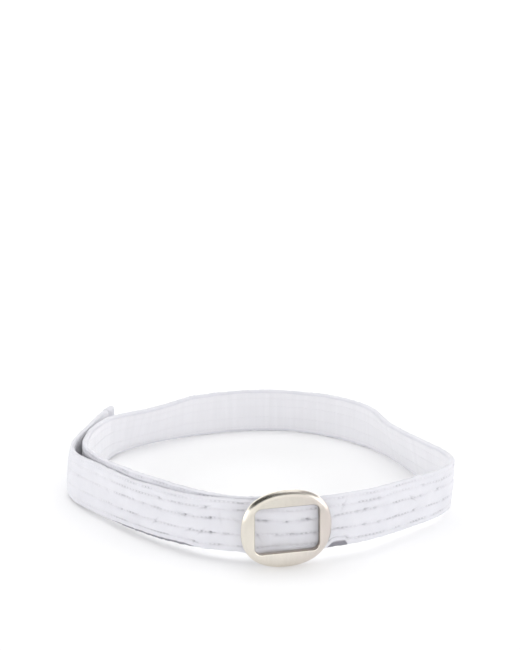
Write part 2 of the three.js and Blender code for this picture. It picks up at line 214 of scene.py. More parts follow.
def face_relief(S, v):
    """How far the outer face stands off its mean level, mm, at S and v."""
    rows = np.stack([np.broadcast_to(row_v(k, S), np.broadcast(S, v).shape) for k in range(5)])
    vv = np.broadcast_to(v, rows.shape[1:])
    SS = np.broadcast_to(S, rows.shape[1:])
    dv = vv[None] - rows
    near = np.abs(dv).min(0)
    # channel the point is in, its width, and the place across it
    low = np.where(dv >= 0, rows, -1.2).max(0)
    high = np.where(dv < 0, rows, W + 1.2).min(0)
    width = np.maximum(high - low, 1e-3)
    q = np.clip((vv - low) / width, 0, 1)
    crown = np.clip(4 * q * (1 - q), 0, 1) ** 0.62
    ease = calm(SS)
    crown = 1 - (1 - crown) * ease
    plump = np.clip(width / 9.0, 0.45, 1.15)
    puff = (1.05 + 0.22 * noise(SS / 17.0, low * 0.7, 21)) * plump
    h = -1.05 + puff * crown
    # needle holes pull the row down, stitch by stitch
    hole = 0.5 + 0.5 * np.cos(2 * np.pi * SS / PITCH + low * 0.0)
    strength = 0.75 + 0.45 * noise(SS / 31.0, low * 0.9, 22)
    h -= ease * strength * (0.32 + 0.16 * hole**2) * np.exp(-((near / 0.8) ** 2))
    # gathers: short upright wrinkles that start at the rows
    chan = np.round(low)
    slant = 0.35 * noise(SS / 26.0, chan * 1.3, 23)
    x = SS + slant * (vv - low)
    g1 = noise(x / 1.9, chan * 3.1 + vv / 14.0, 24)
    g2 = noise(x / 3.9, chan * 5.3 + vv / 11.0, 25)
    g3 = noise(x / 8.5, chan * 2.3 + vv / 16.0, 26)
    fold = 1 - np.abs(g2) * 2
    edge = np.exp(-near / 2.4)
    amount = 0.55 + 0.45 * noise(SS / 37.0, chan * 0.8, 27)
    h += amount * ease * (0.26 * g1 * edge + 0.34 * fold * (0.2 + 0.8 * edge) + 0.24 * g3)
    # hard-pulled tucks: small pits along the rows with short creases off them
    for pos, vk, depth, ang, size in TUCKS:
        reach = 7.0
        near_s = np.abs(SS - pos) < reach
        if not near_s.any():
            continue
        ds, dvk = SS - pos, vv - vk
        along = ds * math.cos(ang) + dvk * math.sin(ang)
        cross = -ds * math.sin(ang) + dvk * math.cos(ang)
        pit = np.exp(-(ds / size) ** 2 - (dvk / (0.8 * size)) ** 2)
        crease = np.exp(-((along / (3.4 * size)) ** 2) - ((cross / (0.42 * size)) ** 2))
        h = h - depth * np.where(near_s, pit + 0.55 * crease, 0) * ease
    # the pad itself is not quite even
    h += 0.18 * noise(SS / 44.0, vv / 21.0, 28)
    return h


def painted_shade(S, v):
    """Painted shade in the stitched rows and tucks: how deep in a row or a tuck a point lies, 0 to 1."""
    rows = np.stack([np.broadcast_to(row_v(k, S), np.broadcast(S, v).shape) for k in range(5)])
    vv = np.broadcast_to(v, rows.shape[1:])
    SS = np.broadcast_to(S, rows.shape[1:])
    hole = 0.5 + 0.5 * np.cos(2 * np.pi * SS / PITCH)
    c = np.zeros(vv.shape)
    for k in range(5):
        near = np.abs(vv - rows[k])
        # the painted shade is stronger along some stretches of a row than others
        row_shade = np.clip(0.26 + 0.62 * noise(SS / 9.0, k * 2.9, 91), 0.03, 1)
        c = np.maximum(c, row_shade * (0.55 + 0.45 * hole) * np.exp(-((near / 0.6) ** 2)))
    for pos, vk, depth, ang, size in TUCKS:
        near_s = np.abs(SS - pos) < 7.0
        if not near_s.any():
            continue
        ds, dvk = SS - pos, vv - vk
        along = ds * math.cos(ang) + dvk * math.sin(ang)
        cross = -ds * math.sin(ang) + dvk * math.cos(ang)
        pit = np.exp(-(ds / size) ** 2 - (dvk / (0.8 * size)) ** 2)
        crease = np.exp(-((along / (3.4 * size)) ** 2) - ((cross / (0.42 * size)) ** 2))
        c = np.maximum(c, np.where(near_s, depth * np.maximum(1.25 * pit, 0.8 * crease), 0))
    return np.clip(c * np.clip(calm(SS) * 1.15 - 0.15, 0, 1), 0, 1)


def lining_relief(S, v):
    SS, vv = np.broadcast_arrays(S, v)
    ribs = 0.10 * noise(SS / 2.6, vv / 60.0, 41) + 0.13 * noise(SS / 6.5, vv / 45.0, 42) + 0.10 * noise(SS / 19.0, vv / 30.0, 43)
    h = ribs
    for k in range(5):
        d = np.abs(vv - row_v(k, S))
        hole = 0.5 + 0.5 * np.cos(2 * np.pi * SS / PITCH)
        h = h - (0.07 + 0.07 * hole**2) * np.exp(-((d / 0.6) ** 2))
    return h


def tuck_list():
    rng = np.random.default_rng(7)
    out = []
    for k in (0, 1, 2, 3):
        s = 5.0
        while s < L_ALL - 14:
            s += rng.uniform(7.0, 24.0)
            if rng.random() < (0.30, 0.75, 0.85, 0.45)[k]:
                vk = float(row_v(k, np.array([s]))[0])
                out.append((s, vk, rng.uniform(0.25, 0.7), rng.normal(0.0, 0.55), rng.uniform(0.8, 1.25)))
    # where the plate presses on the strap, the rows are drawn together hard
    for ds, k, depth in ((91.5, 2, 1.0), (91.0, 1, 0.9), (22.5, 2, 0.9), (33.0, 1, 0.5), (52.0, 2, 0.6), (57.0, 2, 0.5), (113.0, 2, 0.9)):
        s = L_LOOP + ds
        vk = float(row_v(k, np.array([s]))[0])
        out.append((s, vk, depth, rng.normal(0.0, 0.3), 1.1))
    return out


TUCKS = tuck_list()


# the closed section of the strap: points round it as (mean w, v, side)
EDGE_R = 2.05
N_FACE, N_EDGE, N_BACK = 56, 9, 22


def section():
    vf = EDGE_R + (W - 2 * EDGE_R) * np.linspace(0, 1, N_FACE)
    face = [(T / 2, v, 1.0) for v in vf]
    top = []
    for a in np.linspace(0, np.pi, N_EDGE + 2)[1:-1]:
        top.append((T / 2 * np.cos(a), W - EDGE_R + EDGE_R * np.sin(a), max(0.0, np.cos(a))))
    back = [(-T / 2, v, 0.0) for v in vf[:: max(1, N_FACE // N_BACK)][::-1]]
    bottom = []
    for a in np.linspace(0, np.pi, N_EDGE + 2)[1:-1]:
        bottom.append((-T / 2 * np.cos(a), EDGE_R - EDGE_R * np.sin(a), max(0.0, -np.cos(a))))
    return np.array(face + top + back + bottom)


SEC = section()


def edge_wave(S, v):
    """The upper and lower edges wander a little between the gathers."""
    top = 0.28 * noise(S / 9.0, 0.3, 51) + 0.32 * noise(S / 33.0, 0.9, 52)
    low = 0.22 * np.abs(noise(S / 9.0, 7.3, 53)) + 0.2 * np.abs(noise(S / 29.0, 8.9, 54))
    k = (v / W) ** 2
    sag = 1.4 * np.exp(-(((S - (L_LOOP + 60.0)) / 8.0) ** 2))
    return top * k + (low - sag) * (1 - v / W) ** 6


def roll_under(S):
    """Height by which the lower front edge rolls under, showing the underside; it also sets how much painted shade the
    underside gets.
    """
    a = L_LOOP + 98.0
    b = L_LOOP + 215.0
    long = 2.3 * smoothstep((S - a) / 18.0) * smoothstep((b - S) / 60.0) * (0.85 + 0.15 * noise(S / 9.0, 0.5, 58))
    c = L_LOOP - 9.0
    short = 4.6 * smoothstep((S - c) / 3.5) * smoothstep((L_LOOP + 9.0 - S) / 6.0)
    return long + short


def strap_grid(S):
    S = np.asarray(S, float)[:, None]
    w, v, side = SEC[:, 0][None], SEC[:, 1][None], SEC[:, 2][None]
    relief = face_relief(S, v) * side
    wiggle = edge_wave(S, v)
    front = np.clip((w / (T / 2) - 0.1) / 0.75, 0, 1)
    wiggle = wiggle + roll_under(S) * front * np.clip(1 - v / 16.0, 0, 1) ** 1.5
    # gathers also pucker the folded edges
    edge = np.clip(1 - np.minimum(v, W - v) / EDGE_R, 0, 1)
    pucker = 0.22 * noise(S / 2.3, np.sign(v - W / 2) * 3.0, 55) * edge
    return place(S + 0 * v, w + relief + 0 * S, v + wiggle + pucker * np.sign(v - W / 2))


def grid_normals(P, closed=True):
    du = np.gradient(P, axis=0)
    if closed:
        dv = (np.roll(P, -1, axis=1) - np.roll(P, 1, axis=1)) / 2
    else:
        dv = np.gradient(P, axis=1)
    n = np.cross(dv, du)
    return n / np.maximum(np.linalg.norm(n, axis=2, keepdims=True), 1e-9)


def mesh_from(name, verts, faces, mats, smooth=True, uv=None, normals=None, face_mat=None, shade=None):
    me = bpy.data.meshes.new(name)
    me.from_pydata((np.asarray(verts, float) * MM).tolist(), [], [list(map(int, f)) for f in faces])
    me.update()
    for m in mats:
        me.materials.append(m)
    if face_mat is not None:
        me.polygons.foreach_set("material_index", np.asarray(face_mat, np.int32))
    me.polygons.foreach_set("use_smooth", [smooth] * len(me.polygons))
    if uv is not None:
        layer = me.uv_layers.new(name="strap")
        idx = np.empty(len(me.loops), np.int32)
        me.loops.foreach_get("vertex_index", idx)
        layer.data.foreach_set("uv", np.asarray(uv, np.float32)[idx].ravel())
    if normals is not None:
        me.normals_split_custom_set_from_vertices(np.asarray(normals, float).tolist())
    if shade is not None:
        att = me.attributes.new("painted_shade", "FLOAT", "POINT")
        att.data.foreach_set("value", np.asarray(shade, np.float32).ravel())
    ob = bpy.data.objects.new(name, me)
    scene.collection.objects.link(ob)
    return ob


def tube_faces(n, m, flip=False):
    i = np.arange(n - 1)[:, None]
    j = np.arange(m)[None]
    a = (i * m + j).ravel()
    b = (i * m + (j + 1) % m).ravel()
    q = np.stack([a, b, b + m, a + m], 1)
    if flip:
        q = q[:, ::-1]
    return q.tolist()


def closed_tube(name, P, mats, uv=None, normals=None, flip=False, shade=None):
    """A grid that closes round its second index, with both ends capped by one flat face each."""
    n, m = P.shape[:2]
    verts = P.reshape(-1, 3)
    faces = tube_faces(n, m, flip)
    first = list(range(m))
    last = list(range((n - 1) * m, n * m))
    faces.append(first if flip else first[::-1])
    faces.append(last[::-1] if flip else last)
    return mesh_from(name, verts, faces, mats, uv=uv, normals=normals, shade=shade)


def outward(P, flip):
    """True if the quads of the tube already face out."""
    n, m = P.shape[:2]
    q = np.array(tube_faces(n, m, flip))
    V = P.reshape(-1, 3)
    c = V.mean(0)
    A, B, C = V[q[:, 0]] - c, V[q[:, 1]] - c, V[q[:, 2]] - c
    D = V[q[:, 3]] - c
    vol = np.einsum("ij,ij->i", A, np.cross(B, C)).sum() + np.einsum("ij,ij->i", A, np.cross(C, D)).sum()
    return vol > 0


# ---------------------------------------------------------------- materials
def new_mat(name):
    m = bpy.data.materials.new(name)
    m.use_nodes = True
    nt = m.node_tree
    return m, nt, nt.nodes["Principled BSDF"]


def ramp(nt, fac, stops):
    r = nt.nodes.new("ShaderNodeValToRGB")
    els = r.color_ramp.elements
    while len(els) < len(stops):
        els.new(0.5)
    for e, (p, c) in zip(els, stops):
        e.position = p
        e.color = (*c, 1)
    nt.links.new(fac, r.inputs["Fac"])
    return r.outputs["Color"]


def math_node(nt, op, a, b=None, clamp=False):
    n = nt.nodes.new("ShaderNodeMath")
    n.operation = op
    n.use_clamp = clamp
    for k, x in enumerate((a, b)):
        if x is None:
            continue
        if isinstance(x, (int, float)):
            n.inputs[k].default_value = x
        else:
            nt.links.new(x, n.inputs[k])
    return n.outputs[0]


def cotton(name, light, dark, weave_mm, bump, mottled=0.5, twill=False, rib=0.0, painted_shade_color=None):
    """Woven cotton drawn in strap coordinates: u runs along, v across, in metres."""
    m, nt, bsdf = new_mat(name)
    uvn = nt.nodes.new("ShaderNodeUVMap")
    uvn.uv_map = "strap"
    sep = nt.nodes.new("ShaderNodeSeparateXYZ")
    nt.links.new(uvn.outputs["UV"], sep.inputs[0])
    # yarns wander slightly
    wob = nt.nodes.new("ShaderNodeTexNoise")
    wob.inputs["Scale"].default_value = 400.0
    wob.inputs["Detail"].default_value = 2.0
    nt.links.new(uvn.outputs["UV"], wob.inputs["Vector"])
    wobble = math_node(nt, "MULTIPLY", math_node(nt, "SUBTRACT", wob.outputs["Fac"], 0.5), 0.9)
    k = 2 * math.pi / (weave_mm * MM)
    u = math_node(nt, "ADD", math_node(nt, "MULTIPLY", sep.outputs["X"], k), wobble)
    v = math_node(nt, "ADD", math_node(nt, "MULTIPLY", sep.outputs["Y"], k), wobble)
    su = math_node(nt, "SINE", u)
    sv = math_node(nt, "SINE", v)
    if twill:
        d = math_node(nt, "SINE", math_node(nt, "ADD", math_node(nt, "MULTIPLY", u, 0.5), math_node(nt, "MULTIPLY", v, 0.5)))
        weave = math_node(nt, "ADD", math_node(nt, "MULTIPLY", d, 0.35), math_node(nt, "ADD", math_node(nt, "MULTIPLY", math_node(nt, "MULTIPLY", su, sv), 0.25), 0.5))
    else:
        weave = math_node(nt, "ADD", math_node(nt, "MULTIPLY", math_node(nt, "MULTIPLY", su, sv), 0.5), 0.5)
    blot = nt.nodes.new("ShaderNodeTexNoise")
    blot.inputs["Scale"].default_value = 60.0
    blot.inputs["Detail"].default_value = 4.0
    nt.links.new(uvn.outputs["UV"], blot.inputs["Vector"])
    fac = math_node(nt, "ADD", math_node(nt, "MULTIPLY", weave, 0.35 * (1 - mottled) + 0.15), math_node(nt, "MULTIPLY", blot.outputs["Fac"], 0.35 + 0.4 * mottled), clamp=True)
    if rib:
        streak = nt.nodes.new("ShaderNodeTexNoise")
        streak.inputs["Scale"].default_value = 1.0
        streak.inputs["Detail"].default_value = 3.0
        comb = nt.nodes.new("ShaderNodeCombineXYZ")
        nt.links.new(math_node(nt, "MULTIPLY", sep.outputs["X"], 210.0), comb.inputs[0])
        nt.links.new(math_node(nt, "MULTIPLY", sep.outputs["Y"], 9.0), comb.inputs[1])
        nt.links.new(comb.outputs[0], streak.inputs["Vector"])
        fac = math_node(nt, "ADD", math_node(nt, "MULTIPLY", fac, 1 - rib), math_node(nt, "MULTIPLY", streak.outputs["Fac"], rib), clamp=True)
    color = ramp(nt, fac, [(0.15, dark), (0.75, light)])
    # painted shade: a mesh attribute mixes the colour towards a dark grey in stitch grooves, tucks and under rolled
    # edges
    if painted_shade_color:
        att = nt.nodes.new("ShaderNodeAttribute")
        att.attribute_name = "painted_shade"
        mix = nt.nodes.new("ShaderNodeMix")
        mix.data_type = "RGBA"
        nt.links.new(att.outputs["Fac"], mix.inputs["Factor"])
        nt.links.new(color, mix.inputs[6])
        mix.inputs[7].default_value = (*painted_shade_color, 1)
        color = mix.outputs[2]
    nt.links.new(color, bsdf.inputs["Base Color"])
    rough = nt.nodes.new("ShaderNodeMapRange")
    rough.inputs["To Min"].default_value = 0.93
    rough.inputs["To Max"].default_value = 0.80
    nt.links.new(fac, rough.inputs["Value"])
    nt.links.new(rough.outputs[0], bsdf.inputs["Roughness"])
    bsdf.inputs["Sheen Weight"].default_value = 0.25
    bsdf.inputs["Sheen Roughness"].default_value = 0.45
    bsdf.inputs["Specular IOR Level"].default_value = 0.25
    bsdf.inputs["Subsurface Weight"].default_value = 0.08
    bsdf.inputs["Subsurface Radius"].default_value = (0.0015, 0.0014, 0.0013)
    bsdf.inputs["Subsurface Scale"].default_value = 1.0
    fuzz = nt.nodes.new("ShaderNodeTexNoise")
    fuzz.inputs["Scale"].default_value = 2600.0
    fuzz.inputs["Detail"].default_value = 3.0
    nt.links.new(uvn.outputs["UV"], fuzz.inputs["Vector"])
    height = math_node(nt, "ADD", weave, math_node(nt, "MULTIPLY", fuzz.outputs["Fac"], 0.5))
    b = nt.nodes.new("ShaderNodeBump")
    b.inputs["Strength"].default_value = bump
    b.inputs["Distance"].default_value = 0.0002
    nt.links.new(height, b.inputs["Height"])
    nt.links.new(b.outputs[0], bsdf.inputs["Normal"])
    return m


# the dark grey given here is the cover's painted shade colour
cover_mat = cotton("cotton_cover", (0.80, 0.797, 0.835), (0.68, 0.678, 0.722), 0.62, 0.55, twill=True, painted_shade_color=(0.24, 0.237, 0.262))
lining_mat = cotton("cotton_lining", (0.84, 0.835, 0.865), (0.76, 0.757, 0.785), 0.5, 0.4, mottled=0.3, rib=0.6)
hem_mat = cover_mat


def thread_material():
    m, nt, bsdf = new_mat("sewing_thread")
    uvn = nt.nodes.new("ShaderNodeUVMap")
    uvn.uv_map = "strap"
    sep = nt.nodes.new("ShaderNodeSeparateXYZ")
    nt.links.new(uvn.outputs["UV"], sep.inputs[0])
    ply = math_node(nt, "SINE", math_node(nt, "ADD", math_node(nt, "MULTIPLY", sep.outputs["X"], 9000.0), math_node(nt, "MULTIPLY", sep.outputs["Y"], 6.2832)))
    fac = math_node(nt, "ADD", math_node(nt, "MULTIPLY", ply, 0.5), 0.5)
    nt.links.new(ramp(nt, fac, [(0.0, (0.72, 0.718, 0.755)), (1.0, (0.82, 0.818, 0.852))]), bsdf.inputs["Base Color"])
    bsdf.inputs["Roughness"].default_value = 0.6
    bsdf.inputs["Sheen Weight"].default_value = 0.2
    b = nt.nodes.new("ShaderNodeBump")
    b.inputs["Strength"].default_value = 0.5
    b.inputs["Distance"].default_value = 0.0001
    nt.links.new(fac, b.inputs["Height"])
    nt.links.new(b.outputs[0], bsdf.inputs["Normal"])
    return m


thread_mat = thread_material()


def metal(name, light, dark, rough_lo, rough_hi, grain_axis, grain, painted_tints=None):
    """Satin plated metal with a fine directional grain and slight wear, in object coordinates, with optional painted
    reflection and painted shade tints multiplied in from mesh attributes.
    """
    m, nt, bsdf = new_mat(name)
    tc = nt.nodes.new("ShaderNodeTexCoord")
    mp = nt.nodes.new("ShaderNodeMapping")
    mp.inputs["Scale"].default_value = grain_axis
    nt.links.new(tc.outputs["Object"], mp.inputs["Vector"])
    n1 = nt.nodes.new("ShaderNodeTexNoise")
    n1.inputs["Scale"].default_value = 1.0
    n1.inputs["Detail"].default_value = 5.0
    n1.inputs["Roughness"].default_value = 0.7
    nt.links.new(mp.outputs[0], n1.inputs["Vector"])
    n2 = nt.nodes.new("ShaderNodeTexNoise")
    n2.inputs["Scale"].default_value = 70.0
    n2.inputs["Detail"].default_value = 4.0
    nt.links.new(tc.outputs["Object"], n2.inputs["Vector"])
    fac = math_node(nt, "ADD", math_node(nt, "MULTIPLY", n1.outputs["Fac"], 0.6), math_node(nt, "MULTIPLY", n2.outputs["Fac"], 0.4))
    color = ramp(nt, fac, [(0.35, dark), (0.65, light)])
    if painted_tints:
        for att_name, stops in painted_tints:
            att = nt.nodes.new("ShaderNodeAttribute")
            att.attribute_name = att_name
            mix = nt.nodes.new("ShaderNodeMix")
            mix.data_type = "RGBA"
            mix.blend_type = "MULTIPLY"
            mix.inputs["Factor"].default_value = 1.0
            nt.links.new(color, mix.inputs[6])
            nt.links.new(ramp(nt, att.outputs["Fac"], stops), mix.inputs[7])
            color = mix.outputs[2]
    nt.links.new(color, bsdf.inputs["Base Color"])
    mr = nt.nodes.new("ShaderNodeMapRange")
    mr.inputs["From Min"].default_value = 0.3
    mr.inputs["From Max"].default_value = 0.7
    mr.inputs["To Min"].default_value = rough_lo
    mr.inputs["To Max"].default_value = rough_hi
    nt.links.new(fac, mr.inputs["Value"])
    nt.links.new(mr.outputs[0], bsdf.inputs["Roughness"])
    bsdf.inputs["Metallic"].default_value = 1.0
    b = nt.nodes.new("ShaderNodeBump")
    b.inputs["Strength"].default_value = grain
    b.inputs["Distance"].default_value = 0.00006
    nt.links.new(n1.outputs["Fac"], b.inputs["Height"])
    nt.links.new(b.outputs[0], bsdf.inputs["Normal"])
    return m


# painted reflection: the plating is tinted a little yellower on the left and pinker on the right; painted shade: darker
# towards the top and in the window's wall
PAINTED_LIGHT_TINTS = [("across", [(0.0, (1.0, 0.988, 0.945)), (0.5, (1.0, 0.985, 0.955)), (1.0, (0.89, 0.845, 0.848))]),
         ("rise", [(0.0, (1.0, 1.0, 1.0)), (0.35, (0.95, 0.948, 0.94)), (1.0, (0.79, 0.788, 0.775))]),
         ("recess", [(0.0, (1.0, 1.0, 1.0)), (1.0, (0.55, 0.52, 0.49))])]
buckle_mat = metal("satin_plating", (0.865, 0.832, 0.785), (0.78, 0.748, 0.70), 0.18, 0.29, (900.0, 900.0, 60.0), 0.35, painted_tints=PAINTED_LIGHT_TINTS)
bar_mat = metal("drawn_rod", (0.66, 0.66, 0.67), (0.56, 0.56, 0.57), 0.25, 0.4, (1200.0, 1200.0, 40.0), 0.4)

# ------------------------------------------------------------ strap lengths
S_J1 = 640.0                 # past here the strap is a separate piece, lying between the loop and the tail
S_J2 = L_LOOP + 68.0         # hidden behind the buckle's left side bar
S_HEM = L_ALL - 12.0
STEP = 0.9


def build_strap(name, s0, s1, end_cap=0.0):
    n = int(round((s1 - s0) / STEP)) + 1
    h = (s1 - s0) / (n - 1)
    S = s0 + h * np.arange(-1, n + 1)
    P = strap_grid(S)
    N = grid_normals(P)[1:-1]
    P, S = P[1:-1], S[1:-1]
    m = P.shape[1]
    flip = not outward(P, False)
    if (np.einsum("ijk,ijk->ij", N, P - P.mean(1, keepdims=True)).mean()) < 0:
        N = -N
    per = np.concatenate([[0], np.cumsum(np.linalg.norm(np.diff(SEC[:, :2], axis=0), axis=1))])
    uv = np.stack(np.broadcast_arrays(S[:, None] * MM, per[None] * MM), -1).reshape(-1, 2)
    # painted shade in the stitch grooves and tucks of the face
    shade = painted_shade(S[:, None], SEC[:, 1][None]) * (SEC[:, 2][None] > 0.5) * 0.85
    # the cloth under a rolled edge lies in its own shade, and is given painted shade as well
    under = (SEC[:, 1] < EDGE_R - 0.05) & (SEC[:, 0] < 1.7)
    shade = np.maximum(shade, np.clip(roll_under(S) / 1.3, 0, 1)[:, None] * under[None])
    return closed_tube(name, P, [cover_mat], uv=uv, normals=N.reshape(-1, 3), flip=flip, shade=shade)


def build_lining(name, s0, s1):
    """A thin closed band along the waist side, let in between the folded edges of the cover."""
    n = int(round((s1 - s0) / 1.5)) + 1
    h = (s1 - s0) / (n - 1)
    S = s0 + h * np.arange(-1, n + 1)
    v = np.concatenate([[2.6], np.linspace(2.75, W - 2.75, 44), [W - 2.6]])
    dip = np.concatenate([[0.30], np.zeros(44), [0.30]])
    Sg, vg = S[:, None], v[None]
    out = -T / 2 - 0.34 - lining_relief(Sg, vg) * 0.9 + dip[None]
    over = edge_wave(Sg, vg)
    front = place(Sg + 0 * vg, out, vg + over)
    # the hidden side, inside the padding
    back_v = v[::-1][::5]
    back = place(Sg + 0 * back_v[None], -T / 2 + 0.35 + 0 * Sg * back_v[None], back_v[None] + 0 * Sg)
    P = np.concatenate([front, back], 1)
    N = grid_normals(P)[1:-1]
    P, S = P[1:-1], S[1:-1]
    flip = not outward(P, False)
    if np.einsum("ijk,ijk->ij", N, P - P.mean(1, keepdims=True)).mean() < 0:
        N = -N
    vv = np.concatenate([v, back_v])
    uv = np.stack(np.broadcast_arrays(S[:, None] * MM, vv[None] * MM), -1).reshape(-1, 2)
    return closed_tube(name, P, [lining_mat], uv=uv, normals=N.reshape(-1, 3), flip=flip)


def surface_point(S, v):
    """The outward offset w of the outer face at S and v."""
    S = np.asarray(S, float)
    v = np.asarray(v, float)
    w = T / 2 + face_relief(S, v)
    return w


def build_stitches(name, s0, s1, back=True):
    """Separate stitches, each a short thread that dives into its needle holes."""
    rings, sides = 6, 6
    k0 = math.ceil(s0 / PITCH)
    k1 = math.floor(s1 / PITCH)
    centres = (np.arange(k0, k1) + 0.5) * PITCH
    verts, faces, uvs = [], [], []
    base = 0
    ang = np.arange(sides) * 2 * np.pi / sides
    frac = np.array([0.03, 0.16, 0.36, 0.64, 0.84, 0.97])
    rad = np.array([0.16, 0.25, 0.28, 0.28, 0.25, 0.16])
    arch = np.array([-0.34, 0.0, 0.17, 0.17, 0.0, -0.34])
    for k in range(5):
        for side in ((1, -1) if back else (1,)):
            S = centres[:, None] + (frac[None] - 0.5) * PITCH
            v = row_v(k, S)
            if side > 0:
                w = T / 2 + face_relief(S, v)
                r = rad
                lift = arch
            else:
                w = T / 2 + 0.34 + lining_relief(S, v) * 0.9
                r = rad * 0.8
                lift = arch - 0.06
            v = v + 0.10 * noise(S / 2.0, k * 2.0 + side, 61)
            w = side * (w + lift[None])
            dv = np.cos(ang)[None, None] * r[None, :, None]
            dw = np.sin(ang)[None, None] * r[None, :, None]
            P = place((S[:, :, None] + 0 * dv), w[:, :, None] + dw, v[:, :, None] + dv + edge_wave(S, v)[:, :, None])
            n = len(centres)
            verts.append(P.reshape(-1, 3))
            uv = np.stack(np.broadcast_arrays(S[:, :, None] * MM, (ang / (2 * np.pi))[None, None] + 0 * dv), -1)
            uvs.append(uv.reshape(-1, 2))
            one = np.array(tube_faces(rings, sides))
            allq = (one[None] + (np.arange(n) * rings * sides)[:, None, None] + base).reshape(-1, 4)
            f = allq.tolist()
            for i in range(n):
                o = base + i * rings * sides
                f.append([o + j for j in range(sides)][::-1])
                f.append([o + (rings - 1) * sides + j for j in range(sides)])
            if side < 0:
                pass
            faces.extend(f)
            base += n * rings * sides
    V = np.vstack(verts)
    # face the tubes outward
    q = np.array([f for f in faces[:1]])
    ob_faces = faces
    c = V[: rings * sides].mean(0)
    f0 = faces[0]
    nrm = np.cross(V[f0[1]] - V[f0[0]], V[f0[2]] - V[f0[0]])
    if np.dot(nrm, V[f0[0]] - c) < 0:
        ob_faces = [f[::-1] for f in faces]
    return mesh_from(name, V, ob_faces, [thread_mat], uv=np.vstack(uvs))


def dress(ob, nodes, body=None, blend=None):
    if blend:
        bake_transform(ob)
    else:
        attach(ob, body)
    if nodes:
        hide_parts(*nodes)
    return ob


def rows_of(prefix):
    return [f"{prefix}_stitch_row_{i}" for i in range(1, 6)]


hinge = [j for j in frame["joints"] if j["name"] == "tail_end_swing"][0]["pos_m"]
# the loop's right side, between the loop and tail bodies; it gives way a little as the strap is drawn through, though
# dress only bakes these pieces in place
DRAW = ("strap_loop", "tail", (0.1475, -0.020, 0.02), (0.047, -0.1455, 0.02))
SWING = ("tail", "tail_end", (hinge[0] + 0.0035, hinge[1] - 0.0235, 0.02), (hinge[0] - 0.0033, hinge[1] + 0.0235, 0.02))

a1 = build_strap("strap_loop_pad", 0.0, S_J1)
dress(a1, ["loop_cover", "loop_padding"], body="strap_loop")
a2 = build_lining("strap_loop_lining", 1.0, S_J1)
dress(a2, ["loop_lining"], body="strap_loop")
a3 = build_stitches("strap_loop_stitches", 4.0, S_J1)
dress(a3, rows_of("loop"), body="strap_loop")

b1 = build_strap("strap_right_pad", S_J1, S_J2)
dress(b1, [], blend=DRAW)
b2 = build_lining("strap_right_lining", S_J1, S_J2)
dress(b2, [], blend=DRAW)
b3 = build_stitches("strap_right_stitches", S_J1, S_J2)
dress(b3, [], blend=DRAW)

d1 = build_strap("tail_pad", S_J2, S_HEM + 5.0)
dress(d1, ["tail_cover", "tail_padding", "tail_end_cover", "tail_end_padding"], blend=SWING)
d2 = build_lining("tail_lining_band", S_J2, S_HEM + 5.0)
dress(d2, ["tail_lining", "tail_end_lining"], blend=SWING)
d3 = build_stitches("tail_stitches", S_J2, S_HEM - 0.6)
dress(d3, rows_of("tail") + rows_of("tail_end"), blend=SWING)


# --------------------------------------------------------------- tail hem
def build_hem():
    """The end of the tail, turned over and sewn down: a flat sleeve with a rounded end."""
    s_in = S_HEM
    s_out = L_ALL + 0.7
    S = np.concatenate([[s_in, s_in + 0.15, s_in + 0.5], np.arange(s_in + 1.0, s_out - 1.6, 0.7),
                        s_out - 1.6 + 1.6 * np.sin(np.linspace(0, np.pi / 2, 7))])
    shrink = np.where(S > s_out - 1.6, np.sqrt(np.clip(1 - ((S - (s_out - 1.6)) / 1.6) ** 2, 0.0025, 1)), 1.0)
    rim = np.array([0.15, 0.55] + [0.62] * (len(S) - 2))
    w, v, side = SEC[:, 0], SEC[:, 1], SEC[:, 2]
    Sg = S[:, None]
    base = T / 2 + 0.15
    grow = rim[:, None]
    ww = np.sign(w)[None] * (np.abs(w)[None] / (T / 2)) * (base + grow) * shrink[:, None]
    tuck = 0.22 * np.exp(-(((Sg - (s_in + 3.0)) / 0.7) ** 2)) + 0.22 * np.exp(-(((Sg - (s_in + 9.6)) / 0.7) ** 2))
    soft = 0.16 * noise(Sg / 3.6, v[None] / 5.0, 71) + 0.12 * noise(Sg / 9.0, v[None] / 11.0, 72)
    flat = np.abs(w[None]) / (T / 2)
    ww = ww - np.sign(w)[None] * tuck * flat + soft * flat * shrink[:, None]
    mid = W / 2
    vv = mid + (v[None] - mid) * (1 + 0.012 * (grow / 0.62)) * (1 - 0.03 * (1 - shrink[:, None]))
    vv = vv + edge_wave(Sg, v[None])
    P = place(Sg + 0 * vv, ww, np.maximum(vv, 0.05))
    uv = np.stack(np.broadcast_arrays(Sg * MM, np.concatenate([[0], np.cumsum(np.linalg.norm(np.diff(SEC[:, :2], axis=0), axis=1))])[None] * MM), -1).reshape(-1, 2)
    flip = not outward(P, False)
    return closed_tube("tail_end_hem", P, [hem_mat], uv=uv, flip=flip)


e1 = build_hem()
dress(e1, ["tail_hem"], body="tail_end")


